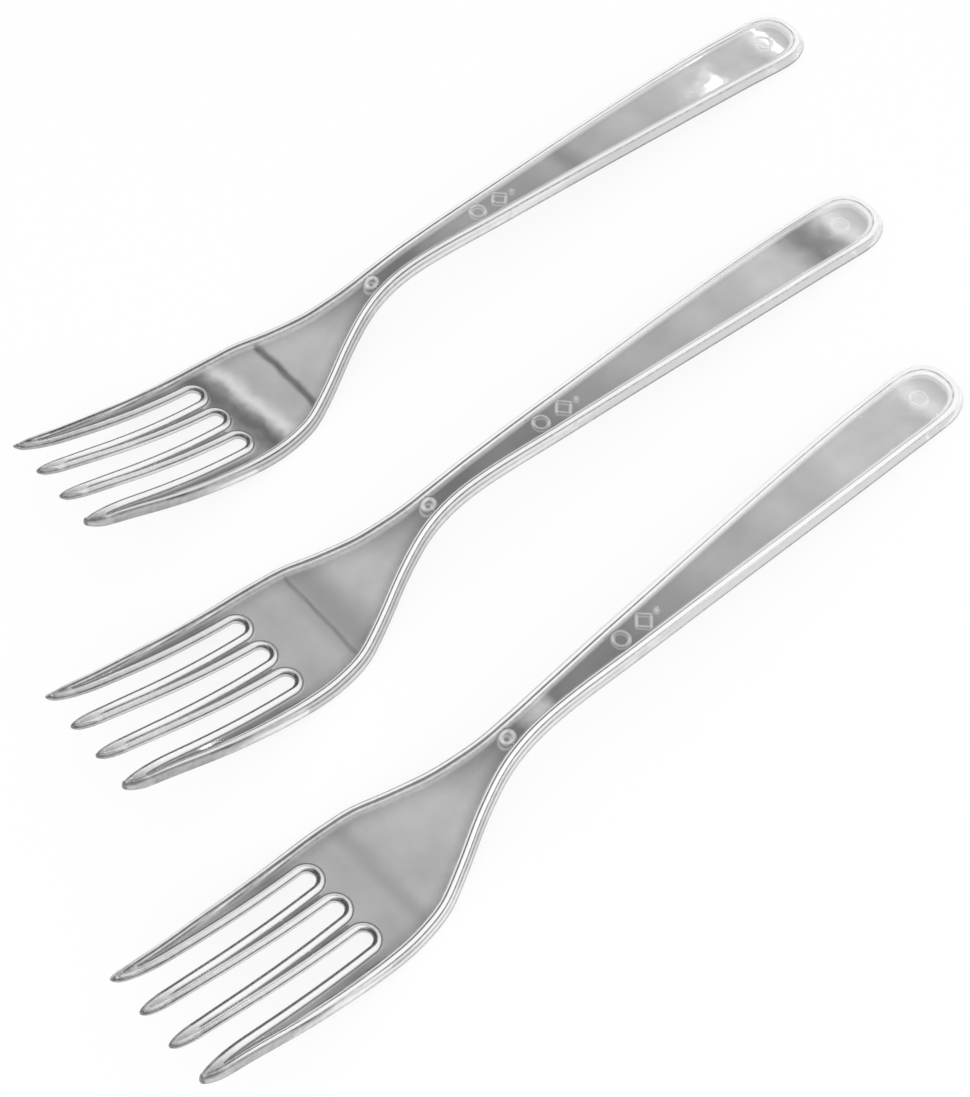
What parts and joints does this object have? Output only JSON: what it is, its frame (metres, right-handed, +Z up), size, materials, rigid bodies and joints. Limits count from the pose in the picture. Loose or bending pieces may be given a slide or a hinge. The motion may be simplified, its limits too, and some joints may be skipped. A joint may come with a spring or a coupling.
{
  "type": "plastic cutlery pack",
  "caption": "Set of clear moulded plastic forks lying side by side, each with beaded tines, a sunk panel in bowl and handle, and an arched neck.",
  "frame": {"origin": "on the table, under the middle of the pack's box", "axes": "+X along the middle fork from its tips to its handle end, +Y across the forks towards the rear fork, +Z up from the table"},
  "size_m": [0.2216, 0.1102, 0.016],
  "materials": {
    "clear_polystyrene": "moulded, polished, see-through"
  },
  "bodies": {
    "root": {"rear_fork": "clear_polystyrene", "middle_fork": "clear_polystyrene", "front_fork": "clear_polystyrene"}
  },
  "joints": []
}
